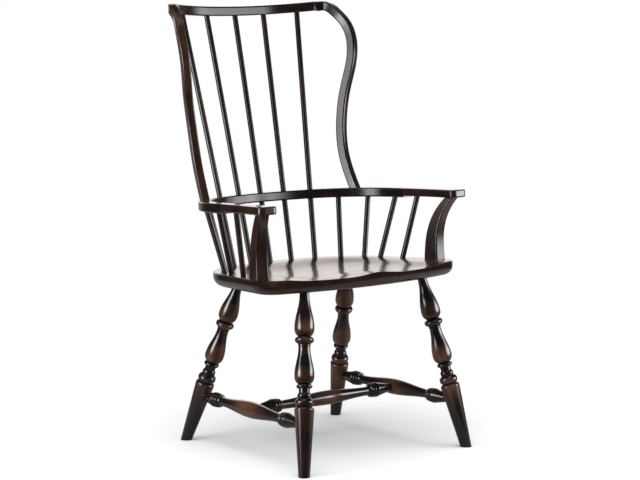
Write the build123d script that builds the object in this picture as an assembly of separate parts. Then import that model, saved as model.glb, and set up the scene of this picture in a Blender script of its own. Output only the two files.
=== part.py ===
from build123d import *
import os
from math import cos, exp, radians, sin, sqrt

# A high-backed spindle armchair in millimetres. +Z is up, the front faces -Y, and +X is to the right
# as seen from the front. What stands on the seat is laid out on the seat plane, which has its origin
# on the chair's middle line at the top of the seat and falls towards the back.

# Fits
glue_gap = 0.15             # room for glue round every tenon, dowel and spindle
glue_line = 0.05            # glue in the flat joint under a post and at the end of a wing
socket_spare = 1.0          # free depth beyond the end of every tenon, dowel and spindle

# Seat plank
seat_height = 457.4         # top of the seat above the floor, midway between front and rear feet
seat_fall = 3.15            # degrees by which the seat plane falls towards the back
seat_thickness = 36.0
seat_margin = 27.0          # from the line of the spindle feet out to the edge
seat_side_length = 247.0    # straight side, up to the front corner before that is rounded
seat_front = -227.5         # foremost point of the bowed front edge
seat_corner_radius = 65.0
seat_top_round = 4.5
seat_bottom_round = 24.0

# Saddle hollowed into the seat
saddle_depth = 17.0
saddle_half_width = 228.0
saddle_side_power = 4       # the higher, the squarer the hollow's sides
saddle_middle = 35.0        # how far behind the origin the hollow is deepest
saddle_back = 150.0         # from there to the rim at the back
saddle_front = 368.0        # the same to the front, past the front edge, so the hollow runs out there
saddle_softness = 0.15      # how gently the rim rolls into the hollow
saddle_spread = 99.0        # how much the half width grows in front of the arm posts
saddle_spread_start = -120.0
saddle_spread_full = -225.0
pommel_half_width = 46.0
pommel_start = -40.0        # where the ridge between the thighs begins
pommel_full = -225.0        # where it has its full height
saddle_overhang = 50.0      # how far the cut for the hollow is laid out past the seat's edge
saddle_sections = 15
saddle_section_points = 21

# Line of the spindle feet on the seat
foot_line_back = 220.8
foot_line_back_radius = 432.0
foot_line_back_turn = 15.2
foot_line_corner_radius = 177.0
foot_line_side_turn = 77.5

# Bent arm rail
arm_top = 180.0             # above the seat plane
rail_back = 251.5
rail_back_radius = 488.0
rail_back_turn = 16.9
rail_corner_radius = 207.0
rail_side_turn = 85.8
rail_width = 33.0
rail_thickness = 24.0
rail_round = 4.0
rail_end_run = 440.0        # a run is a distance along a line from the middle of the back

# Arms that carry on from the rail
arm_end_run = 629.0
arm_thickness = 20.0
arm_round = 4.0
hand_width = 55.0
hand_corner_radius = 14.0

# Spindles, from the middle of the back towards the front
spindle_diameter = 14.0
long_foot_runs = (0.0, 66.0, 134.7)
long_crest_runs = (0.0, 92.7, 191.0)
short_foot_runs = (204.0, 269.0, 319.0, 392.0)
short_rail_runs = (225.0, 307.0, 397.5, 478.5)
spindle_seat_depth = 22.0
spindle_arm_depth = 12.0

# Crest
crest_back = 338.0
crest_height = 655.4        # middle of its section above the seat plane, at the centre
crest_back_radius = 2500.0
crest_back_turn = 2.1
crest_corner_radius = 235.0
crest_end_turn = 38.2
crest_dip_radius = 3100.0   # the crest dips towards its centre along this radius
bar_thickness = 21.0        # section of crest and wings
bar_depth = 24.5
bar_round = 4.0

# Wings: bars that rise from the rail, sway out and arch back to the crest
wing_foot_run = 270.0
wing_foot_lean = (-0.083, 0.399, 0.913)
wing_foot_turn = 22.5       # degrees by which the section is turned at the foot
wing_foot_spare = 20.0      # length below the rail's top that is sawn off
wing_points = (
    (238.9, 196.1, 274.7),
    (243.5, 205.3, 361.9),
    (255.7, 200.3, 442.9),
    (270.1, 186.0, 527.6),
    (269.0, 206.8, 615.0),
    (256.5, 239.0, 649.5),
)
wing_sections = 24

# Arm posts
post_foot_run = 492.5
post_foot_outset = 3.0      # how far outside the line of the spindle feet it stands
post_top_run = 597.0
post_turn = 10.0            # degrees, so that the post lies along the seat's side
post_foot_length = 44.0
post_foot_width = 34.0
post_top_length = 27.0
post_top_width = 27.0
post_flare_power = 3        # the higher, the later the post flares forward
post_round = 4.0
post_sections = 8
post_tenon_diameter = 18.0
post_seat_depth = 22.0
post_arm_depth = 12.0

# Legs on the right, in plan
front_foot = (262.0, -255.0)
rear_foot = (248.0, 255.0)
front_socket = (189.0, -164.0)
rear_socket = (177.0, 121.0)
leg_tenon_diameter = 24.0
leg_tenon_depth = 21.0
leg_reveal = 7.0            # plain tenon that shows below the seat
leg_foot_spare = 15.0       # length below the floor that is sawn off to level the foot

# Turning of a leg from the floor up
leg_foot_radius = 13.9
leg_cone_radius = 24.4
leg_cone_length = 161.0
leg_shoulder_radius = 23.4
leg_shoulder_length = 6.6
leg_groove_radius = 18.0
leg_ball_radius = 23.1
leg_ball_length = 21.4
leg_ball_top_radius = 15.5
leg_bead_radius = 16.8
leg_bead_length = 13.0
leg_cove_radius = 13.5
leg_cove_length = 10.0
leg_ring_radius = 19.5
leg_ring_length = 10.5
leg_vase_radius = 24.5
leg_vase_rise = 20.0        # from the neck below a vase up to its belly
leg_vase_fall = 69.0        # from the lower vase's belly up to its top
leg_vase_slope = 0.6        # rise over reach where a vase leaves its neck
leg_vase_top_radius = 14.7
leg_neck_radius = 14.2
leg_cut_radius = 13.4       # narrow cut between the lower vase and the collar
leg_cut_length = 2.5
leg_flare_radius = 16.2     # short flare that carries the collar
leg_flare_length = 7.0
leg_flare_waist = 15.4
leg_collar_radius = 23.4
leg_collar_length = 16.5

# Stretchers, turned alike from both ends
front_stretcher_height = 124.0  # along the leg, from the floor
rear_stretcher_height = 127.5
stretcher_tenon_diameter = 22.0
stretcher_tenon_depth = 15.0
stretcher_reveal = 7.0      # plain tenon that shows beside the leg
stretcher_cone_radius = 18.4
stretcher_cone_length = 36.0
stretcher_shoulder_radius = 18.9
stretcher_shoulder_length = 9.0
stretcher_groove_radius = 15.6
stretcher_ring_radius = 18.5
stretcher_ring_length = 8.5
stretcher_bead_radius = 17.3
stretcher_bead_length = 8.0
stretcher_bead_edge_radius = 13.5
stretcher_cove_length = 8.0
stretcher_neck_radius = 11.3
side_bulb_radius = 20.5
cross_bulb_radius = 18.6

# Dowels in the butt joints
dowel_diameter = 8.0
dowel_depth = 18.0          # into each of the two pieces
crest_dowel_spacing = 11.0
arm_dowel_spacing = 15.0
wing_dowel_diameter = 10.0
wing_dowel_depth = 15.0


def outward(turn):
    """Unit vector square to a plan line whose heading has turned from +X towards the front."""
    return Vector(sin(turn), cos(turn), 0)


def along(turn):
    """Unit vector along such a line, away from the middle of the back."""
    return Vector(cos(turn), -sin(turn), 0)


class PlanLine:
    """Right half of a plan line: a shallow arc across the back, a corner arc and a straight side."""

    def __init__(self, back, back_radius, back_turn, corner_radius, side_turn):
        self.back_radius = back_radius
        self.corner_radius = corner_radius
        self.back_turn = radians(back_turn)
        self.side_turn = radians(side_turn)
        self.back_centre = Vector(0, back - back_radius, 0)
        inset = outward(self.back_turn) * (back_radius - corner_radius)
        self.corner_centre = self.back_centre + inset
        self.back_run = back_radius * self.back_turn
        self.bend_run = self.back_run + corner_radius * (self.side_turn - self.back_turn)

    def turn(self, run):
        """Heading at a run, in radians."""
        if run < self.back_run:
            return run / self.back_radius
        return min(self.back_turn + (run - self.back_run) / self.corner_radius, self.side_turn)

    def at(self, run, outside=0.0, height=0.0):
        """Point at a run, moved sideways and up."""
        turn = self.turn(run)
        if run < self.back_run:
            place = self.back_centre + outward(turn) * self.back_radius
        else:
            place = self.corner_centre + outward(turn) * self.corner_radius
            place += along(turn) * max(run - self.bend_run, 0.0)
        return place + outward(turn) * outside + Vector(0, 0, height)

    def arc(self, start, stop, outside):
        """Edge between two runs of one bend."""
        runs = (start, (start + stop) / 2, stop)
        return ThreePointArc(*[self.at(run, outside) for run in runs])

    def half(self, end, outside):
        """Edges from the middle to a run, at a distance outside the line."""
        bend_end = min(end, self.bend_run)
        edges = [self.arc(0.0, self.back_run, outside), self.arc(self.back_run, bend_end, outside)]
        if end > self.bend_run:
            edges.append(Line(self.at(self.bend_run, outside), self.at(end, outside)))
        return edges


foot_line = PlanLine(
    foot_line_back, foot_line_back_radius, foot_line_back_turn, foot_line_corner_radius, foot_line_side_turn
)
rail_line = PlanLine(rail_back, rail_back_radius, rail_back_turn, rail_corner_radius, rail_side_turn)
crest_line = PlanLine(crest_back, crest_back_radius, crest_back_turn, crest_corner_radius, crest_end_turn)
fall = radians(seat_fall)
seat_plane = Plane((0, 0, seat_height), x_dir=(1, 0, 0), z_dir=(0, sin(fall), cos(fall)))


def mirrored(shape):
    """The same shape on the other side of the chair."""
    return shape.mirror(Plane.YZ)


def mirrored_point(point):
    return Vector(-point.X, point.Y, point.Z)


def both_sides(shapes):
    """Shapes of the right side together with their mirror images."""
    return [*shapes, *[mirrored(shape) for shape in shapes]]


def rod(start, end, diameter):
    """Round bar between two points."""
    axis = end - start
    upright = Cylinder(diameter / 2, axis.length, align=(Align.CENTER, Align.CENTER, Align.MIN))
    return Plane(start, z_dir=axis) * upright


def bore(start, end, diameter):
    """Hole for a rod, with room for glue and a little spare depth at both ends."""
    spare = (end - start).normalized() * socket_spare
    return rod(start - spare, end + spare, diameter + 2 * glue_gap)


def band(line, end, width):
    """Plan face of a bar that follows a line on both sides of the middle."""
    outer = line.half(end, width / 2)
    inner = line.half(end, -width / 2)
    return make_face(both_sides([*outer, Line(outer[-1] @ 1, inner[-1] @ 1), *inner]))


# A turning is a chain of steps up its axis: a form, the radius it ends at, its rise and perhaps its belly
def taper(low, high):
    return Line(low, high)


def bead(low, high, belly):
    return ThreePointArc(low, Vector(belly, 0, (low.Z + high.Z) / 2), high)


def ogee(low, high):
    return Spline(low, high, tangents=[(0, 0, 1), (0, 0, 1)])


def swell(low, high):
    return Spline(low, high, tangents=[(1, 0, leg_vase_slope), (0, 0, 1)])


def turned(radius, height, steps):
    """Solid turned about Z that starts at a radius and a height."""
    bottom = Vector(0, 0, height)
    low = Vector(radius, 0, height)
    edges = [Line(bottom, low)]
    for form, end_radius, rise, *belly in steps:
        high = Vector(end_radius, 0, low.Z + rise)
        edges.append(form(low, high, *belly))
        low = high
    top = Vector(0, 0, low.Z)
    edges += [Line(low, top), Line(top, bottom)]
    return revolve(make_face(edges), Axis.Z)


def total_rise(steps):
    return sum(step[2] for step in steps)


# Seat
def smooth_step(value, start, full):
    """0 before start and 1 after full, with a smooth rise between."""
    share = min(max((value - start) / (full - start), 0.0), 1.0)
    return share * share * (3 - 2 * share)


def hollow(x, y):
    """Depth of the saddle below the seat plane."""
    reach = saddle_back if y > saddle_middle else saddle_front
    spread = saddle_spread * smooth_step(y, saddle_spread_start, saddle_spread_full)
    sideways = abs(x / (saddle_half_width + spread)) ** saddle_side_power
    inside = max(1 - sideways - ((y - saddle_middle) / reach) ** 2, 0.0)
    ridge = exp(-((x / pommel_half_width) ** 2)) * smooth_step(y, pommel_start, pommel_full)
    return saddle_depth * inside**2 / (inside + saddle_softness) * (1 - ridge)


def saddle_section(y, half_width):
    """Upright face across the chair, above the seat's finished top."""
    last = saddle_section_points - 1
    across = [half_width * (2 * i / last - 1) for i in range(saddle_section_points)]
    points = [Vector(x, y, -hollow(x, y)) for x in across]
    upper = [Vector(half_width, y, seat_thickness), Vector(-half_width, y, seat_thickness)]
    return make_face([Spline(*points), Polyline(points[-1], *upper, points[0])])


def saddle_cutter():
    """Everything above the seat's finished top, reaching past its edges all round."""
    past_edge = seat_margin + saddle_overhang
    half_width = foot_line.at(foot_line.bend_run + seat_side_length, past_edge).X
    front = seat_front - saddle_overhang
    back = foot_line_back + past_edge
    steps = [i / (saddle_sections - 1) for i in range(saddle_sections)]
    return loft([saddle_section(front + (back - front) * step, half_width) for step in steps])


def seat_blank():
    """Plank with its saddle and rounded edges, before any socket is bored."""
    right = foot_line.half(foot_line.bend_run + seat_side_length, seat_margin)
    corner = right[-1] @ 1
    front = ThreePointArc(corner, (0, seat_front), mirrored_point(corner))
    outline = make_face([*both_sides(right), front])
    ends = outline.vertices().sort_by(Axis.X)
    outline = fillet([ends[0], ends[-1]], seat_corner_radius)
    plank = Pos(0, 0, -seat_thickness) * extrude(outline, seat_thickness + saddle_depth)
    plank -= saddle_cutter()
    plank = fillet(plank.faces().sort_by(Axis.Z)[0].edges(), seat_bottom_round)
    top = plank.faces().filter_by(GeomType.BSPLINE).sort_by(SortBy.AREA)[-1]
    return fillet(top.edges(), seat_top_round)


# Spindles, each given by the two ends of its axis
def long_axis(foot_run, crest_run):
    foot = foot_line.at(foot_run)
    top = crest_at(crest_run)
    return foot - (top - foot).normalized() * spindle_seat_depth, top


def short_axis(foot_run, rail_run):
    foot = foot_line.at(foot_run)
    thickness = rail_thickness if rail_run < rail_end_run else arm_thickness
    top = rail_line.at(rail_run, height=arm_top - thickness + spindle_arm_depth)
    return foot - (top - foot).normalized() * spindle_seat_depth, top


def long_axes():
    """Axes of all long spindles from left to right."""
    right = [long_axis(*runs) for runs in zip(long_foot_runs, long_crest_runs)]
    left = [(mirrored_point(foot), mirrored_point(top)) for foot, top in right[1:]]
    return [*reversed(left), *right]


def short_axes():
    """Axes of the short spindles on the right, from the back to the front."""
    return [short_axis(*runs) for runs in zip(short_foot_runs, short_rail_runs)]


# Rail and arms
def back_rail():
    plan = band(rail_line, rail_end_run, rail_width)
    rail = Pos(0, 0, arm_top - rail_thickness) * extrude(plan, rail_thickness)
    faces = rail.faces().sort_by(Axis.Z)
    edges = [*faces[0].edges(), *faces[-1].edges()]
    joint = rail_line.at(rail_end_run).Y + rail_round
    return fillet([edge for edge in edges if edge.center().Y > joint], rail_round)


def right_arm():
    """Front arm that leaves the rail at its own width and widens to a square hand end."""
    heading = along(rail_line.turn(arm_end_run))
    sides = []
    for side in (1, -1):
        start = rail_line.at(rail_end_run, side * rail_width / 2)
        end = rail_line.at(arm_end_run, side * hand_width / 2)
        sides.append(TangentArc(start, end, tangent=heading))
    joint = Line(sides[0] @ 0, sides[1] @ 0)
    hand = Line(sides[0] @ 1, sides[1] @ 1)
    outline = make_face([*sides, joint, hand])
    outline = fillet(outline.vertices().sort_by(Axis.Y)[:2], hand_corner_radius)
    arm = Pos(0, 0, arm_top - arm_thickness) * extrude(outline, arm_thickness)
    faces = arm.faces().sort_by(Axis.Z)
    edges = [*faces[0].edges().sort_by(Axis.Y)[:-1], *faces[-1].edges().sort_by(Axis.Y)[:-1]]
    return fillet(edges, arm_round)


def post_tenons():
    """Ends of a post's foot tenon and of its top tenon."""
    foot = foot_line.at(post_foot_run, post_foot_outset, glue_line)
    top = rail_line.at(post_top_run, height=arm_top - arm_thickness - glue_line)
    return (foot, foot - Vector(0, 0, post_seat_depth)), (top, top + Vector(0, 0, post_arm_depth))


def right_post():
    """Post that narrows upwards and flares forward to meet the arm."""
    foot_tenon, top_tenon = post_tenons()
    foot = foot_tenon[0]
    reach = top_tenon[0] - foot
    sections = []
    for i in range(post_sections):
        share = i / (post_sections - 1)
        flare = share**post_flare_power
        centre = foot + Vector(reach.X * flare, reach.Y * flare, reach.Z * share)
        length = post_foot_length + (post_top_length - post_foot_length) * share
        width = post_foot_width + (post_top_width - post_foot_width) * share
        outline = RectangleRounded(width, length, post_round)
        sections.append(Location(centre, (0, 0, post_turn)) * outline)
    return loft(sections) + rod(*foot_tenon, post_tenon_diameter) + rod(*top_tenon, post_tenon_diameter)


# Crest and wings
def crest_at(run):
    """Middle of the crest's section at a run."""
    place = crest_line.at(run)
    rise = crest_dip_radius - sqrt(crest_dip_radius**2 - place.X**2)
    return place + Vector(0, 0, crest_height + rise)


def crest_elevation():
    """Front view of the crest: a band that dips at the centre, longer than the crest itself."""
    reach = crest_line.at(crest_line.bend_run, bar_thickness).X
    edges = []
    for offset in (-bar_depth / 2, bar_depth / 2):
        radius = crest_dip_radius - offset
        low = Vector(0, 0, crest_height + offset)
        tip = Vector(reach, 0, crest_height + crest_dip_radius - sqrt(radius**2 - reach**2))
        edges.append(ThreePointArc(mirrored_point(tip), low, tip))
    edges.append(Line(edges[0] @ 0, edges[1] @ 0))
    edges.append(Line(edges[0] @ 1, edges[1] @ 1))
    return make_face(edges)


def crest_rail():
    """Crest sawn to its curve in plan and to its dip in front view, with rounded edges."""
    plan = band(crest_line, crest_line.bend_run, bar_thickness)
    crest = extrude(plan, 2 * crest_height) & extrude(crest_elevation(), 2 * crest_back, both=True)
    long_edges = [edge for edge in crest.edges() if edge.length > 2 * bar_depth]
    return fillet(long_edges, bar_round)


def wing_path():
    """Middle line of the right wing, from below the rail's top to the crest's end."""
    lean = Vector(*wing_foot_lean).normalized()
    foot = rail_line.at(wing_foot_run, height=arm_top)
    crest_way = along(crest_line.side_turn)
    joint = crest_at(crest_line.bend_run) + crest_way * glue_line
    slope = Vector(0, 0, crest_way.X * joint.X / crest_dip_radius)
    points = [foot - lean * wing_foot_spare, *[Vector(*point) for point in wing_points], joint]
    return Spline(*points, tangents=[lean, (crest_way + slope) * -1])


def right_wing():
    """Bar of the crest's section along its path, turned bit by bit to line up with the crest's end."""
    path = wing_path()
    shares = [i / (wing_sections - 1) for i in range(wing_sections)]
    ways = [*[path % share for share in shares[:-1]], along(crest_line.side_turn) * -1]
    side = Vector(cos(radians(wing_foot_turn)), sin(radians(wing_foot_turn)), 0)
    sides = []
    for way in ways:
        side = (side - way * side.dot(way)).normalized()
        sides.append(side)
    twist = side.get_signed_angle(outward(crest_line.side_turn), ways[-1])
    outline = RectangleRounded(bar_thickness, bar_depth, bar_round)
    sections = []
    for share, way, side in zip(shares, ways, sides):
        side = side.rotate(Axis((0, 0, 0), way), twist * share)
        sections.append(Plane(path @ share, x_dir=side, z_dir=way) * outline)
    return split(loft(sections), Plane.XY.offset(arm_top), Keep.TOP)


# Dowels on the right, each given by the two ends of its axis
def arm_joint_dowels():
    reach = along(rail_line.turn(rail_end_run)) * dowel_depth
    sides = (-arm_dowel_spacing / 2, arm_dowel_spacing / 2)
    middles = [rail_line.at(rail_end_run, side, arm_top - arm_thickness / 2) for side in sides]
    return [(middle - reach, middle + reach) for middle in middles]


def crest_dowels():
    reach = along(crest_line.side_turn) * dowel_depth
    offset = Vector(0, 0, crest_dowel_spacing / 2)
    middle = crest_at(crest_line.bend_run)
    return [(place - reach, place + reach) for place in (middle - offset, middle + offset)]


def wing_foot_dowel():
    reach = Vector(*wing_foot_lean).normalized() * wing_dowel_depth
    middle = rail_line.at(wing_foot_run, height=arm_top)
    return middle - reach, middle + reach


def upper_pieces():
    """Everything above the seat by name, on the seat plane, and the holes for it in the seat."""
    long_bores = [bore(*axis, spindle_diameter) for axis in long_axes()]
    short_bores = [bore(*axis, spindle_diameter) for axis in short_axes()]
    arm_holes = [bore(*axis, dowel_diameter) for axis in arm_joint_dowels()]
    crest_holes = [bore(*axis, dowel_diameter) for axis in crest_dowels()]
    wing_hole = bore(*wing_foot_dowel(), wing_dowel_diameter)
    post_foot, post_top = [bore(*ends, post_tenon_diameter) for ends in post_tenons()]

    pieces = {}
    pieces["back_rail"] = back_rail() - [*long_bores, *both_sides([*short_bores, *arm_holes, wing_hole])]
    pieces["crest_rail"] = crest_rail() - [*long_bores, *both_sides(crest_holes)]
    pieces["arm_right"] = right_arm() - [*short_bores, *arm_holes, post_top]
    pieces["arm_post_right"] = right_post()
    pieces["wing_right"] = right_wing() - [*crest_holes, wing_hole]
    for number, axis in enumerate(short_axes(), 1):
        pieces[f"short_spindle_right_{number}"] = rod(*axis, spindle_diameter)
    for name in [name for name in pieces if "right" in name]:
        pieces[name.replace("right", "left")] = mirrored(pieces[name])
    for number, axis in enumerate(long_axes(), 1):
        pieces[f"long_spindle_{number}"] = rod(*axis, spindle_diameter)
    groups = {
        "arm_joint_dowels": [rod(*axis, dowel_diameter) for axis in arm_joint_dowels()],
        "crest_dowels": [rod(*axis, dowel_diameter) for axis in crest_dowels()],
        "wing_foot_dowels": [rod(*wing_foot_dowel(), wing_dowel_diameter)],
    }
    for name, dowels in groups.items():
        pieces[name] = Compound(both_sides(dowels))
    return pieces, [*long_bores, *both_sides([*short_bores, post_foot])]


# Legs and stretchers, upright in the chair's own frame
def seat_underside(x, y):
    return Vector(x, y, seat_height - (seat_thickness + y * sin(fall)) / cos(fall))


def leg_steps(length):
    """Turning from the sawn-off foot to the top of the tenon."""
    steps = [
        (taper, leg_cone_radius, leg_foot_spare + leg_cone_length),
        (bead, leg_groove_radius, leg_shoulder_length, leg_shoulder_radius),
        (bead, leg_ball_top_radius, leg_ball_length, leg_ball_radius),
        (bead, leg_cove_radius, leg_bead_length, leg_bead_radius),
        (taper, leg_cove_radius, leg_cove_length),
        (bead, leg_neck_radius, leg_ring_length, leg_ring_radius),
        (swell, leg_vase_radius, leg_vase_rise),
        (ogee, leg_vase_top_radius, leg_vase_fall),
        (bead, leg_flare_waist, leg_cut_length, leg_cut_radius),
        (bead, leg_flare_radius, leg_flare_length, leg_flare_waist),
        (bead, leg_neck_radius, leg_collar_length, leg_collar_radius),
        (swell, leg_vase_radius, leg_vase_rise),
    ]
    top_taper = length + leg_foot_spare - leg_reveal - total_rise(steps)
    steps.append((ogee, leg_tenon_diameter / 2, top_taper))
    steps.append((taper, leg_tenon_diameter / 2, leg_reveal + leg_tenon_depth))
    return steps


def cone_radius(height):
    """Radius of a leg's plain lower part at a height along it."""
    return leg_foot_radius + (leg_cone_radius - leg_foot_radius) * height / leg_cone_length


def leg(foot, socket):
    """Turned leg between a point on the floor and one on the seat's underside."""
    axis = socket - foot
    upright = turned(cone_radius(-leg_foot_spare), -leg_foot_spare, leg_steps(axis.length))
    return split(Plane(foot, z_dir=axis) * upright, Plane.XY, Keep.TOP)


def stretcher(start, end, start_radius, bulb_radius):
    """Turned stretcher between two axes, tenoned into pieces of a given radius there."""
    axis = end - start
    tenon_radius = stretcher_tenon_diameter / 2
    steps = [
        (taper, tenon_radius, stretcher_tenon_depth + stretcher_reveal),
        (taper, stretcher_cone_radius, stretcher_cone_length),
        (bead, stretcher_groove_radius, stretcher_shoulder_length, stretcher_shoulder_radius),
        (bead, stretcher_groove_radius, stretcher_ring_length, stretcher_ring_radius),
        (bead, stretcher_bead_edge_radius, stretcher_bead_length, stretcher_bead_radius),
        (ogee, stretcher_neck_radius, stretcher_cove_length),
    ]
    tenon_start = start_radius - stretcher_tenon_depth
    steps.append((ogee, bulb_radius, axis.length / 2 - tenon_start - total_rise(steps)))
    half = turned(tenon_radius, tenon_start, steps)
    whole = half + half.mirror(Plane.XY.offset(axis.length / 2))
    return Plane(start, z_dir=axis) * whole


def stretcher_bores(start, end, start_radius):
    """Sockets for both tenons of a stretcher."""
    way = (end - start).normalized()
    inner = way * (start_radius - stretcher_tenon_depth)
    outer = way * (start_radius + stretcher_reveal)
    return [bore(start + inner, start + outer, stretcher_tenon_diameter),
            bore(end - inner, end - outer, stretcher_tenon_diameter)]


def lower_pieces():
    """Legs and stretchers by name, and the sockets for the legs in the seat."""
    legs = (
        ("front", Vector(*front_foot, 0), seat_underside(*front_socket), front_stretcher_height),
        ("rear", Vector(*rear_foot, 0), seat_underside(*rear_socket), rear_stretcher_height),
    )
    joints = [foot + (top - foot).normalized() * height for _, foot, top, height in legs]
    leg_radius = cone_radius(max(front_stretcher_height, rear_stretcher_height))
    middle = (joints[0] + joints[1]) / 2
    cross_ends = (mirrored_point(middle), middle)

    pieces = {}
    sockets = []
    for (name, foot, top, _), hole in zip(legs, stretcher_bores(*joints, leg_radius)):
        pieces[f"leg_{name}_right"] = leg(foot, top) - hole
        way = (top - foot).normalized()
        sockets.append(bore(top - way * leg_reveal, top + way * leg_tenon_depth, leg_tenon_diameter))
    side = stretcher(*joints, leg_radius, side_bulb_radius)
    pieces["side_stretcher_right"] = side - stretcher_bores(*cross_ends, side_bulb_radius)
    for name in list(pieces):
        pieces[name.replace("right", "left")] = mirrored(pieces[name])
    pieces["cross_stretcher"] = stretcher(*cross_ends, side_bulb_radius, cross_bulb_radius)
    return pieces, both_sides(sockets)


def build():
    """All pieces by name, standing on the floor."""
    upper, upper_holes = upper_pieces()
    pieces, leg_sockets = lower_pieces()
    for name, piece in upper.items():
        pieces[name] = seat_plane * piece
    pieces["seat"] = seat_plane * (seat_blank() - upper_holes) - leg_sockets
    return pieces


# The origin is on the floor in the middle of the chair's own box
pieces = build()
box = Compound(list(pieces.values())).bounding_box()
centring = Pos(0, -(box.min.Y + box.max.Y) / 2, 0)
os.makedirs("parts", exist_ok=True)
for name, piece in pieces.items():
    export_step(centring * piece, f"parts/{name}.step")
print(len(pieces), "pieces, box", box.size, "moved by", centring.position.Y)
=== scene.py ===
# %% [markdown]
# # A spindle-back armchair, dressed and lit
# The chair's pieces come from the imported model as separate meshes in one frame: metres, +Z up, the front
# towards -Y. Their shapes are already right, so this lesson is about finish and light. We load them first,
# with a helper that gives the box a piece fills.

# %% Load the chair
import math

import bpy
import numpy as np
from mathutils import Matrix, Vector


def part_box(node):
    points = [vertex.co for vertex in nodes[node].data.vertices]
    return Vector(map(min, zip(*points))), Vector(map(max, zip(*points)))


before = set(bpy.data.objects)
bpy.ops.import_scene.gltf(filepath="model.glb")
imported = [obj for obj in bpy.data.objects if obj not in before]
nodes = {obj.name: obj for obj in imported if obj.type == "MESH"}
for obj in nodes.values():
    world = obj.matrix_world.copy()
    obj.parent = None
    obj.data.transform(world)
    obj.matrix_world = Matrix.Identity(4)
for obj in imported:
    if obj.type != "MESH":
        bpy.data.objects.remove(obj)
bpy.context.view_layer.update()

# %% [markdown]
# ## Three helpers
# Colours are written as the hex values that a colour picker shows. A shader works in linear light, so one
# function converts them. A second one adds a node, sets its properties and fills its inputs with numbers
# or with the outputs of other nodes: every material below is a chain of such calls. A third one starts a
# material with an empty node tree.

# %% Colour and node helpers
MM = 0.001
WHITE = "#ffffff"
SMOOTH = {"interpolation_type": "SMOOTHSTEP"}       # for Map Range nodes that ease in and out


def linear(hex_colour):
    """Linear red, green, blue and alpha of an sRGB hex colour."""
    parts = [int(hex_colour[i:i + 2], 16) / 255 for i in (1, 3, 5)]
    return [p / 12.92 if p <= 0.04045 else ((p + 0.055) / 1.055) ** 2.4 for p in parts] + [1.0]


def add(tree, kind, inputs=None, **settings):
    """One new node with its settings, its input values and its links."""
    node = tree.nodes.new(kind)
    for name, value in settings.items():
        setattr(node, name, value)
    for name, value in (inputs or {}).items():
        if isinstance(value, bpy.types.NodeSocket):
            tree.links.new(value, node.inputs[name])
        else:
            node.inputs[name].default_value = value
    return node


def new_tree(name):
    """An empty material with its node tree."""
    material = bpy.data.materials.new(name)
    material.use_nodes = True
    material.node_tree.nodes.clear()
    return material, material.node_tree


print("white in linear light", linear(WHITE))

# %% [markdown]
# ## Where the grain runs
# Wood is cut so that its grain follows the length of a piece. A turned leg or a spindle is straight, so a
# Mapping node can stand its own axis upright: then x and y cross the grain and z follows it. The axis is
# measured from the mesh, as the direction in which its points spread most. The arm rail is bent, so its
# grain follows the bend: there the polar angle about the sitter takes the place of the length.

# %% Grain coordinates
KEEP_XY, KEEP_Z = (1, 1, 0), (0, 0, 1)      # factors that clear the other parts of a vector


def long_direction(node):
    """Middle and direction of the longest spread of a piece's points."""
    points = np.array([v.co for v in nodes[node].data.vertices])
    low, high = points.min(axis=0), points.max(axis=0)
    middle = points.mean(axis=0)
    spread, directions = np.linalg.eigh(np.cov((points - middle).T))
    direction = Vector(directions[:, spread.argmax()])
    if direction.z < 0:
        direction.negate()
    return Vector((low + high) / 2), direction


def straight_grain(tree, middle, direction):
    """Coordinates in metres with z along a straight piece."""
    place = add(tree, "ShaderNodeTexCoord").outputs["Object"]
    turn = direction.to_track_quat("Z", "Y").to_euler()
    return add(tree, "ShaderNodeMapping", {"Vector": place, "Location": middle, "Rotation": turn},
               vector_type="TEXTURE").outputs["Vector"]


def bent_grain(tree, centre, radius):
    """Coordinates in metres with z along a bend about an upright line."""
    place = add(tree, "ShaderNodeTexCoord").outputs["Object"]
    local = add(tree, "ShaderNodeVectorMath", {0: place, 1: centre}, operation="SUBTRACT").outputs["Vector"]
    xyz = add(tree, "ShaderNodeSeparateXYZ", {"Vector": local}).outputs
    flat = add(tree, "ShaderNodeVectorMath", {0: local, 1: KEEP_XY},
               operation="MULTIPLY").outputs["Vector"]
    out = add(tree, "ShaderNodeVectorMath", {0: flat}, operation="LENGTH").outputs["Value"]
    angle = add(tree, "ShaderNodeMath", {0: xyz["X"], 1: xyz["Y"]}, operation="ARCTAN2").outputs["Value"]
    along = add(tree, "ShaderNodeMath", {0: angle, 1: radius}, operation="MULTIPLY").outputs["Value"]
    return add(tree, "ShaderNodeCombineXYZ", {"X": out, "Y": xyz["Z"], "Z": along}).outputs["Vector"]


for name in ("leg_front_left", "cross_stretcher", "wing_right"):
    print(name, "runs along", [round(v, 2) for v in long_direction(name)[1]])

# %% [markdown]
# ## The finish: black-stained beech, rubbed through and lacquered
# The chair is a plain hardwood such as beech. It was stained almost black, rubbed back by hand so that
# warm brown shows on edges and on the fat parts of the turnings, and sealed with a satin lacquer. To the
# eye that gives a nearly black piece with brown high spots, faint streaks along the grain, and one clear
# reflection on top of it all. So the colour is a mix of stain and brown wood by a rub mask, and the lacquer
# is the shader's coat, which stays smooth over a slightly rough, finely pored base.

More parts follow.
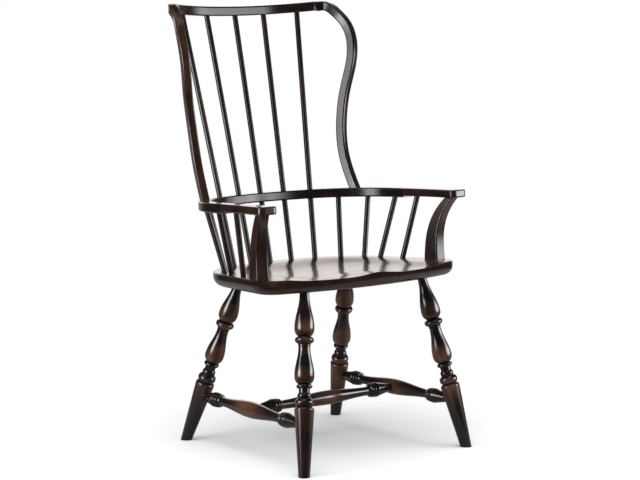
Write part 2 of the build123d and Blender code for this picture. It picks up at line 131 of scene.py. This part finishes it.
# %% Stain, rub, pores and lacquer
STAIN = "#0e0a09"
DEEP_BROWN = "#2c1a10"
RUBBED_BROWN = "#5a3b2a"
DEEP_BROWN_AT = 0.45                # the rub at which the stain has turned to the deep brown
GRAIN_LAYERS = {                    # width across the grain and length along it in mm, and detail
    "patch": (34.0, 120.0, 3.0),    # what one stroke of rubbing reaches
    "fibre": (2.2, 90.0, 2.0),      # streaks; real fibres are finer, and wouldn't show
    "pore": (1.1, 9.0, 1.0),        # drawn about twice as coarse as in beech
}
NOISE_ROUGHNESS = 0.55              # how much each finer step of a layer's noise counts
PATCH_SHARE = 1.4                   # how much strokes, streaks and high spots add to the rub
FIBRE_SHARE = 0.3
HIGH_SPOT_SHARE = 0.65
PORE_START, PORE_FULL = 0.6, 0.7    # levels of the pore noise where a pit begins and is deepest
PORE_STRENGTH, PORE_DEPTH_MM = 0.08, 0.1
PORE_ROUGHNESS = 0.2                # what a pit adds to the roughness of the wood
WOOD_ROUGHNESS = 0.42
WOOD_SPECULAR = 0.05                # the lacquer mirrors the room, so the wood under it hardly does
LACQUER_IOR = 1.5
LACQUER_ROUGHNESS = 0.17            # satin, as on the sawn pieces
print("stain", STAIN, "rubbed to", RUBBED_BROWN, "in", len(GRAIN_LAYERS), "layers of grain")

# %% [markdown]
# ## One recipe for every piece
# Each piece gets a material of its own, because the grain runs another way in each. One function makes them
# all. It takes where the grain runs, where the piece is rubbed, and a seed that shifts the pattern, so that
# no two pieces show the same patches. Three noises, stretched along the grain, are the strokes of rubbing,
# the streaks and the pores.

# %% Stained beech
def stained_beech(name, grain_of, rub_of, seed, shade=0.0, lacquer=LACQUER_ROUGHNESS):
    """Black-stained, rubbed and lacquered beech for one piece; more shade makes it browner."""
    material, tree = new_tree(name)
    grain = grain_of(tree)
    layers = {}
    for layer, (width, length, detail) in GRAIN_LAYERS.items():
        across = 1 / (MM * width)
        scaled = add(tree, "ShaderNodeMapping", {
            "Vector": grain, "Location": (seed, seed, seed), "Scale": (across, across, 1 / (MM * length)),
        })
        layers[layer] = add(tree, "ShaderNodeTexNoise", {
            "Vector": scaled.outputs["Vector"], "Scale": 1.0,
            "Detail": detail, "Roughness": NOISE_ROUGHNESS,
        }).outputs["Fac"]

    # The rub is a sum: high spots, strokes and streaks, with both noises counted from their middle value
    level = shade - (PATCH_SHARE + FIBRE_SHARE) / 2
    rub = add(tree, "ShaderNodeMath", {0: layers["patch"], 1: PATCH_SHARE, 2: level},
              operation="MULTIPLY_ADD").outputs["Value"]
    rub = add(tree, "ShaderNodeMath", {0: layers["fibre"], 1: FIBRE_SHARE, 2: rub},
              operation="MULTIPLY_ADD").outputs["Value"]
    rub = add(tree, "ShaderNodeMath", {0: rub_of(tree, grain), 1: HIGH_SPOT_SHARE, 2: rub},
              operation="MULTIPLY_ADD").outputs["Value"]
    tone = add(tree, "ShaderNodeValToRGB", {"Fac": rub})
    tone.color_ramp.elements[0].color = linear(STAIN)
    tone.color_ramp.elements[1].color = linear(RUBBED_BROWN)
    tone.color_ramp.elements.new(DEEP_BROWN_AT).color = linear(DEEP_BROWN)

    pits = add(tree, "ShaderNodeMapRange", {
        "Value": layers["pore"], "From Min": PORE_START, "From Max": PORE_FULL,
    }, **SMOOTH).outputs["Result"]
    roughness = add(tree, "ShaderNodeMath", {0: pits, 1: PORE_ROUGHNESS, 2: WOOD_ROUGHNESS},
                    operation="MULTIPLY_ADD")
    relief = add(tree, "ShaderNodeBump", {
        "Height": pits, "Strength": PORE_STRENGTH, "Distance": PORE_DEPTH_MM * MM,
    }, invert=True)
    shader = add(tree, "ShaderNodeBsdfPrincipled", {
        "Base Color": tone.outputs["Color"], "Roughness": roughness.outputs["Value"],
        "Normal": relief.outputs["Normal"], "IOR": LACQUER_IOR, "Specular IOR Level": WOOD_SPECULAR,
        "Coat Weight": 1.0, "Coat Roughness": lacquer, "Coat IOR": LACQUER_IOR,
    })
    add(tree, "ShaderNodeOutputMaterial", {"Surface": shader.outputs["BSDF"]})
    return material


def dress(node, material):
    """Puts a material in every slot of a piece."""
    for slot in nodes[node].material_slots:
        slot.material = material


print("recipe ready for", len(nodes), "pieces")

# %% [markdown]
# ## Turned legs and stretchers
# These were shaped on a lathe and rubbed while they turned. On a leg the brown sits on the vases and on the
# foot taper, and the grooves keep their stain: the distance from the piece's own axis says how fat it is at
# a point, so that distance drives the rub mask. A stretcher is rubbed on its bulb, where shoes scuff it, so
# there the distance from its middle does.

# %% Dress the turnings
TURNED_LACQUER_ROUGHNESS = 0.12
SLIM_RADIUS_MM, FAT_RADIUS_MM = 18.0, 23.8      # of a leg, where the rub begins and is full
BULB_FULL_MM, BULB_END_MM = 10.0, 95.0          # from a stretcher's middle, where it is full and ends
LEG_SHADES = {                                  # below 0: rubbed less than the rest
    "leg_front_left": -0.02, "leg_front_right": -0.1, "leg_rear_left": -0.16, "leg_rear_right": -0.1,
}
STRETCHER_SHADE = 0.03
LEG_SEED, LEG_SEED_STEP = 3.1, 5.3              # any numbers do, if no two pieces share one
STRETCHER_SEED, STRETCHER_SEED_STEP = 20.0, 7.9


def fat_parts(tree, grain):
    """1 on the fat parts of a turning, where rubbing bites, and 0 in its grooves."""
    across = add(tree, "ShaderNodeVectorMath", {0: grain, 1: KEEP_XY}, operation="MULTIPLY")
    radius = add(tree, "ShaderNodeVectorMath", {0: across.outputs["Vector"]}, operation="LENGTH")
    return add(tree, "ShaderNodeMapRange", {
        "Value": radius.outputs["Value"], "From Min": SLIM_RADIUS_MM * MM, "From Max": FAT_RADIUS_MM * MM,
    }, **SMOOTH).outputs["Result"]


def bulb_part(tree, grain):
    """1 round the middle of a stretcher's length and 0 towards its ends."""
    along = add(tree, "ShaderNodeVectorMath", {0: grain, 1: KEEP_Z}, operation="MULTIPLY")
    reach = add(tree, "ShaderNodeVectorMath", {0: along.outputs["Vector"]}, operation="LENGTH")
    return add(tree, "ShaderNodeMapRange", {
        "Value": reach.outputs["Value"], "From Min": BULB_END_MM * MM, "From Max": BULB_FULL_MM * MM,
    }, **SMOOTH).outputs["Result"]


def turned_piece(node, rub_of, seed, shade):
    """Dresses one turned leg or stretcher."""
    middle, direction = long_direction(node)
    dress(node, stained_beech(
        f"turned_beech_{node}", lambda tree: straight_grain(tree, middle, direction), rub_of,
        seed=seed, shade=shade, lacquer=TURNED_LACQUER_ROUGHNESS,
    ))


stretchers = sorted(name for name in nodes if "stretcher" in name)
for number, (name, shade) in enumerate(LEG_SHADES.items()):
    turned_piece(name, fat_parts, LEG_SEED + number * LEG_SEED_STEP, shade)
for number, name in enumerate(stretchers):
    turned_piece(name, bulb_part, STRETCHER_SEED + number * STRETCHER_SEED_STEP, STRETCHER_SHADE)
print("turnings dressed:", len(LEG_SHADES), "legs,", len(stretchers), "stretchers")

# %% [markdown]
# ## Spindles
# A spindle is a plain round stick. There are no high spots, so only the patches of rubbing vary along it,
# and each stick gets its own stretch of the pattern.

# %% Dress the spindles
SPINDLE_LACQUER_ROUGHNESS = 0.3     # sprayed thinly on the sticks, so it stays duller
SPINDLE_RUB = 0.2                   # the same all round and all along
SPINDLE_SEED, SPINDLE_SEED_STEP = 40.0, 2.6
spindles = sorted(name for name in nodes if "spindle" in name)
for number, name in enumerate(spindles):
    middle, direction = long_direction(name)
    dress(name, stained_beech(
        f"round_beech_{name}",
        lambda tree: straight_grain(tree, middle, direction),
        lambda tree, grain: SPINDLE_RUB,
        seed=SPINDLE_SEED + number * SPINDLE_SEED_STEP, lacquer=SPINDLE_LACQUER_ROUGHNESS,
    ))
print(len(spindles), "spindles dressed")

# %% [markdown]
# ## Sawn and bent pieces
# Arms, posts, crest and wings were sawn and their corners eased by hand, and the rail was bent from one
# strip. Hands and cloth wear such a piece along its edges. A Bevel node gives the normal that a more
# rounded edge would have: where it differs from the true normal there is an edge, and the stain is rubbed.

# %% Dress the sawn pieces
SAWN_EDGE_MM = 7.0                      # how far from an edge the rub reaches
EDGE_NONE, EDGE_FULL = 0.99, 0.84       # cosines between both normals: no edge and a sharp one
EDGE_RUB = 0.6                          # the rub on a sharp edge
BEVEL_SAMPLES = 6
SAWN_SHADES = {                         # how much browner than the rest a piece is
    "arm_left": 0.22, "arm_right": 0.12, "arm_post_left": 0.28, "arm_post_right": 0.28,
    "crest_rail": 0.1, "wing_left": 0.35, "wing_right": 0.1,
}
SAWN_SEED, SAWN_SEED_STEP = 80.0, 4.4
RAIL_SHADE, RAIL_SEED = 0.08, 120.0


def sharp_edges(tree, width_mm):
    """The rub along edges: a rounded normal differs from the true one only near an edge."""
    rounded = add(tree, "ShaderNodeBevel", {"Radius": width_mm * MM},
                  samples=BEVEL_SAMPLES).outputs["Normal"]
    true_normal = add(tree, "ShaderNodeNewGeometry").outputs["Normal"]
    alike = add(tree, "ShaderNodeVectorMath", {0: rounded, 1: true_normal}, operation="DOT_PRODUCT")
    return add(tree, "ShaderNodeMapRange", {
        "Value": alike.outputs["Value"], "From Min": EDGE_NONE, "From Max": EDGE_FULL, "To Max": EDGE_RUB,
    }, **SMOOTH).outputs["Result"]


for number, (name, shade) in enumerate(SAWN_SHADES.items()):
    middle, direction = long_direction(name)
    dress(name, stained_beech(
        f"sawn_beech_{name}",
        lambda tree: straight_grain(tree, middle, direction),
        lambda tree, grain: sharp_edges(tree, SAWN_EDGE_MM),
        seed=SAWN_SEED + number * SAWN_SEED_STEP, shade=shade,
    ))

rail_low, rail_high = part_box("back_rail")
rail_radius = (rail_high.x - rail_low.x) / 2
rail_centre = Vector((0, rail_high.y - rail_radius, rail_low.z))
dress("back_rail", stained_beech(
    "bent_beech_back_rail",
    lambda tree: bent_grain(tree, rail_centre, rail_radius),
    lambda tree, grain: sharp_edges(tree, SAWN_EDGE_MM),
    seed=RAIL_SEED, shade=RAIL_SHADE,
))
print(len(SAWN_SHADES), "sawn pieces and the rail dressed, bend radius", round(rail_radius, 3))

# %% [markdown]
# ## The seat
# The seat is one thick plank with the grain from side to side. Sitting has polished its lacquer, so it
# reflects the spindles clearly at a low angle, and its front edge is rubbed brown.

# %% Dress the seat
SEAT_LACQUER_ROUGHNESS = 0.2
SEAT_EDGE_MM = 9.0
SEAT_SHADE, SEAT_SEED = 0.32, 140.0
SIDEWAYS = Vector((1, 0, 0))
seat_low, seat_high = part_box("seat")
seat_middle = (seat_low + seat_high) / 2
dress("seat", stained_beech(
    "saddled_beech_seat",
    lambda tree: straight_grain(tree, seat_middle, SIDEWAYS),
    lambda tree, grain: sharp_edges(tree, SEAT_EDGE_MM),
    seed=SEAT_SEED, shade=SEAT_SHADE, lacquer=SEAT_LACQUER_ROUGHNESS,
))
print("seat dressed, width", round(seat_high.x - seat_low.x, 3))

# %% [markdown]
# ## Hidden dowels
# The dowels in the butt joints are raw birch. Nobody sees them unless the chair is taken apart.

# %% Raw birch
BIRCH_DARK, BIRCH_LIGHT = "#c9a06a", "#e0c090"
BIRCH_SPOT_MM, BIRCH_DETAIL = 2.0, 2.0
BIRCH_ROUGHNESS = 0.7
birch, tree = new_tree("raw_birch_dowel")
place = add(tree, "ShaderNodeTexCoord").outputs["Object"]
spots = add(tree, "ShaderNodeTexNoise", {
    "Vector": place, "Scale": 1 / (BIRCH_SPOT_MM * MM), "Detail": BIRCH_DETAIL,
})
tone = add(tree, "ShaderNodeValToRGB", {"Fac": spots.outputs["Fac"]})
tone.color_ramp.elements[0].color = linear(BIRCH_DARK)
tone.color_ramp.elements[1].color = linear(BIRCH_LIGHT)
shader = add(tree, "ShaderNodeBsdfPrincipled", {
    "Base Color": tone.outputs["Color"], "Roughness": BIRCH_ROUGHNESS,
})
add(tree, "ShaderNodeOutputMaterial", {"Surface": shader.outputs["BSDF"]})
dowels = sorted(name for name in nodes if name.endswith("dowels"))
for name in dowels:
    dress(name, birch)
print("dressed in birch:", dowels)

# %% [markdown]
# ## Floor
# The chair stands on a studio floor that runs out of sight: one large square is enough.

# %% Floor
FLOOR_HALF = 30.0       # metres
corners = [(-FLOOR_HALF, -FLOOR_HALF, 0), (FLOOR_HALF, -FLOOR_HALF, 0),
           (FLOOR_HALF, FLOOR_HALF, 0), (-FLOOR_HALF, FLOOR_HALF, 0)]
floor_mesh = bpy.data.meshes.new("floor")
floor_mesh.from_pydata(corners, [], [(0, 1, 2, 3)])
floor = bpy.data.objects.new("floor", floor_mesh)
bpy.context.scene.collection.objects.link(floor)
print("floor", 2 * FLOOR_HALF, "m across")

# %% [markdown]
# ## Floor paint and painted shade
# Near the chair the floor is matt paint and shows the soft shadow. The paint is a light grey, and the
# floor's own lamp, further down, brings it up to white. Further out, where no shadow falls, the camera sees
# plain white, so there is no line between floor and room. In reflections the floor gets painted shade, a
# dark paint mixed in: least behind the chair, and most where the photographer stands.

# %% Matt white paint and painted shade
PAINT = "#b8b8b8"
# painted shade: the dark paint that reflections see on the floor
PAINTED_SHADE_COLOUR = "#1c1c1c"
FADE_START, FADE_END = 0.9, 2.2         # metres from the chair to where the floor is plain white
UNLIT_START, UNLIT_END = 0.1, 0.7       # metres towards the photographer to where the painted shade is full
FAR_START, FAR_END = 0.9, 2.0           # metres from the chair to where painted shade covers all but the floor behind it
LEAST_DARK = 0.65                       # the least painted shade that the whole floor gets in reflections
LIT_SIDE, DARK_SIDE = -0.95, -0.70      # cosines of the way to the photographer: fully lit and fully dark, or no painted shade and full
UNLIT_SIDE = Vector((-0.62, -0.77, 0.10)).normalized()

paint, tree = new_tree("floor_paint_and_painted_shade")
place = add(tree, "ShaderNodeTexCoord").outputs["Object"]
ray = add(tree, "ShaderNodeLightPath").outputs
away = add(tree, "ShaderNodeVectorMath", {0: place}, operation="LENGTH").outputs["Value"]
fade = add(tree, "ShaderNodeMapRange", {"Value": away, "From Min": FADE_START, "From Max": FADE_END},
           **SMOOTH).outputs["Result"]
seen_fade = add(tree, "ShaderNodeMath", {0: fade, 1: ray["Is Camera Ray"]}, operation="MULTIPLY")
forward = add(tree, "ShaderNodeVectorMath", {0: place, 1: UNLIT_SIDE},
              operation="DOT_PRODUCT").outputs["Value"]
unlit = add(tree, "ShaderNodeMapRange", {"Value": forward, "From Min": UNLIT_START, "From Max": UNLIT_END},
            **SMOOTH).outputs["Result"]
far = add(tree, "ShaderNodeMapRange", {"Value": away, "From Min": FAR_START, "From Max": FAR_END},
          **SMOOTH).outputs["Result"]
facing = add(tree, "ShaderNodeMath", {0: forward, 1: away}, operation="DIVIDE").outputs["Value"]
beside = add(tree, "ShaderNodeMapRange", {"Value": facing, "From Min": LIT_SIDE, "From Max": DARK_SIDE},
             **SMOOTH).outputs["Result"]
far_dark = add(tree, "ShaderNodeMath", {0: far, 1: beside}, operation="MULTIPLY").outputs["Value"]
any_dark = add(tree, "ShaderNodeMath", {0: unlit, 1: far_dark}, operation="MAXIMUM").outputs["Value"]
at_least = add(tree, "ShaderNodeMath", {0: any_dark, 1: LEAST_DARK}, operation="MAXIMUM").outputs["Value"]
# painted shade: reflections see the floor mixed with dark paint, by this mask
painted_shade_in_mirror = add(tree, "ShaderNodeMath", {0: at_least, 1: ray["Is Glossy Ray"]}, operation="MULTIPLY")
matt = add(tree, "ShaderNodeBsdfDiffuse", {"Color": linear(PAINT)}).outputs["BSDF"]
dark = add(tree, "ShaderNodeBsdfDiffuse", {"Color": linear(PAINTED_SHADE_COLOUR)}).outputs["BSDF"]
white = add(tree, "ShaderNodeEmission", {"Color": linear(WHITE), "Strength": 1.0}).outputs["Emission"]
lit = add(tree, "ShaderNodeMixShader", {0: painted_shade_in_mirror.outputs["Value"], 1: matt, 2: dark})
whole = add(tree, "ShaderNodeMixShader", {
    0: seen_fade.outputs["Value"], 1: lit.outputs["Shader"], 2: white,
})
add(tree, "ShaderNodeOutputMaterial", {"Surface": whole.outputs["Shader"]})
floor_mesh.materials.append(paint)
print("floor painted", PAINT, "and plain white from", FADE_END, "m")

# %% [markdown]
# ## The white room
# A lacquered black chair shows mostly what it mirrors, so the light is planned as surroundings, and the
# room comes first. The camera sees it white. Reflections see it white behind the chair and dark on the
# photographer's side, which keeps the faces that look at us black. Matt surfaces get an even fill from all
# around.

# %% World
FILL_LEVEL = 0.8                # as it lights matt surfaces
BACKDROP_LEVEL = 1.5            # behind the chair, as the lacquer mirrors it
DARK_LEVEL = 0.03               # on the photographer's side, the same
BACKDROP_COLOUR = "#fff8f5"     # of that mirror image, a touch warm
world = bpy.data.worlds.new("white_room")
bpy.context.scene.world = world
world.use_nodes = True
tree = world.node_tree
tree.nodes.clear()
way = add(tree, "ShaderNodeTexCoord").outputs["Generated"]
facing = add(tree, "ShaderNodeVectorMath", {0: way, 1: UNLIT_SIDE}, operation="DOT_PRODUCT")
room = add(tree, "ShaderNodeMapRange", {
    "Value": facing.outputs["Value"], "From Min": LIT_SIDE, "From Max": DARK_SIDE,
    "To Min": BACKDROP_LEVEL, "To Max": DARK_LEVEL,
}, **SMOOTH).outputs["Result"]
ray = add(tree, "ShaderNodeLightPath").outputs
fill = add(tree, "ShaderNodeBackground", {"Color": linear(WHITE), "Strength": FILL_LEVEL})
mirrored = add(tree, "ShaderNodeBackground", {"Color": linear(BACKDROP_COLOUR), "Strength": room})
seen = add(tree, "ShaderNodeBackground", {"Color": linear(WHITE), "Strength": 1.0})
unseen = add(tree, "ShaderNodeMixShader", {
    0: ray["Is Glossy Ray"], 1: fill.outputs["Background"], 2: mirrored.outputs["Background"],
})
whole = add(tree, "ShaderNodeMixShader", {
    0: ray["Is Camera Ray"], 1: unseen.outputs["Shader"], 2: seen.outputs["Background"],
})
add(tree, "ShaderNodeOutputWorld", {"Surface": whole.outputs["Shader"]})
print("room mirrored at", BACKDROP_LEVEL, "and filling at", FILL_LEVEL)

# %% [markdown]
# ## Ceiling and floor light
# A broad overhead sun stands for a large soft ceiling light. A broader one from the front lights the floor
# alone, so that the wide soft shadow can be set without a change to the wood. Light linking does that: the
# lamp's receivers are the objects in a collection.

# %% Two suns
def lamp(name, kind, place, target, energy, **settings):
    """A lamp somewhere, with its light thrown at a target."""
    light = bpy.data.lights.new(name, kind)
    light.energy = energy
    for key, value in settings.items():
        setattr(light, key, value)
    obj = bpy.data.objects.new(name, light)
    bpy.context.scene.collection.objects.link(obj)
    obj.location = place
    obj.rotation_euler = (Vector(target) - Vector(place)).to_track_quat("-Z", "Y").to_euler()
    return obj


lamp("ceiling_light", "SUN", place=(-0.8, -0.3, 4.0), target=(0, 0, 0), energy=0.62, angle=math.radians(50))
floor_light = lamp("floor_light", "SUN", place=(-1.1, -1.9, 4.0), target=(0, 0, 0), energy=3.6,
                   angle=math.radians(90))
lit_floor = bpy.data.collections.new("lit_by_floor_light")
lit_floor.objects.link(floor)
floor_light.light_linking.receiver_collection = lit_floor
print("suns", [light.name for light in bpy.data.lights])

# %% [markdown]
# ## Soft boxes
# Three soft boxes, two at the left and one at the right front, draw the long highlights. A plain area lamp
# would be mirrored as a hard rectangle, so these fade from their middle to their edges. The seat is shaded
# from them: from the far side it would be all glare.

# %% Soft boxes
BOX_COLOUR = "#fafaff"                  # daylight, a touch cooler than the room
BOX_FILL = 0.14                         # share of a box that lights matt surfaces; its mirror image is full
BOX_MIDDLE = (0.5, 0.5, 0)              # in shares of its width and height
GLOW_MIDDLE, GLOW_EDGE = 0.08, 0.5      # distances from there, in the same shares: full glow and none
shaded_pieces = bpy.data.collections.new("shaded_from_soft_boxes")
shaded_pieces.objects.link(nodes["seat"])
shaded_pieces.collection_objects[0].light_linking.link_state = "EXCLUDE"


def soft_box(name, place, brightness, width, height):
    """An upright soft box that faces the chair, bright in its middle and fading to its edges."""
    box = lamp(
        name, "AREA", place, target=(0, 0, place[2]), energy=math.pi * width * height * brightness,
        shape="RECTANGLE", size=width, size_y=height, diffuse_factor=BOX_FILL,
        color=linear(BOX_COLOUR)[:3],
    )
    box.light_linking.receiver_collection = shaded_pieces
    box.data.use_nodes = True
    tree = box.data.node_tree
    tree.nodes.clear()
    across = add(tree, "ShaderNodeNewGeometry").outputs["Parametric"]
    reach = add(tree, "ShaderNodeVectorMath", {0: across, 1: BOX_MIDDLE}, operation="DISTANCE")
    glow = add(tree, "ShaderNodeMapRange", {
        "Value": reach.outputs["Value"], "From Min": GLOW_EDGE, "From Max": GLOW_MIDDLE,
    }, **SMOOTH).outputs["Result"]
    lit = add(tree, "ShaderNodeEmission", {"Strength": glow}).outputs["Emission"]
    add(tree, "ShaderNodeOutputLight", {"Surface": lit})


soft_box("right_soft_box", place=(1.86, -1.67, 0.8), brightness=12.5, width=3.0, height=1.6)
soft_box("left_soft_box", place=(-2.19, 0.18, 0.82), brightness=15.5, width=1.8, height=1.64)
soft_box("upper_left_soft_box", place=(-2.05, 0.7, 1.42), brightness=8.0, width=0.9, height=1.0)
print("lamps", [light.name for light in bpy.data.lights])

# %% [markdown]
# ## Camera
# The photograph was taken with a long lens from the front left, a little above the seat, looking slightly
# down. These numbers were solved from the chair's own mirror symmetry.

# %% Camera
CAMERA_PLACE = (-3.363, -4.2537, 1.231)
LOOK_DOWN = 7.48            # degrees
TURN_RIGHT = 38.63          # degrees from +Y towards +X
LENS_MM, SENSOR_MM = 120.645, 36.0
VIEW_LIMIT = 100.0          # metres
camera_data = bpy.data.cameras.new("camera")
camera_data.lens = LENS_MM
camera_data.sensor_width = SENSOR_MM
camera_data.clip_end = VIEW_LIMIT
camera = bpy.data.objects.new("camera", camera_data)
bpy.context.scene.collection.objects.link(camera)
camera.location = CAMERA_PLACE
camera.rotation_euler = (math.radians(90 - LOOK_DOWN), 0, math.radians(-TURN_RIGHT))
bpy.context.scene.camera = camera
bpy.context.scene.view_settings.view_transform = "Standard"
print("camera", CAMERA_PLACE, "lens", LENS_MM)
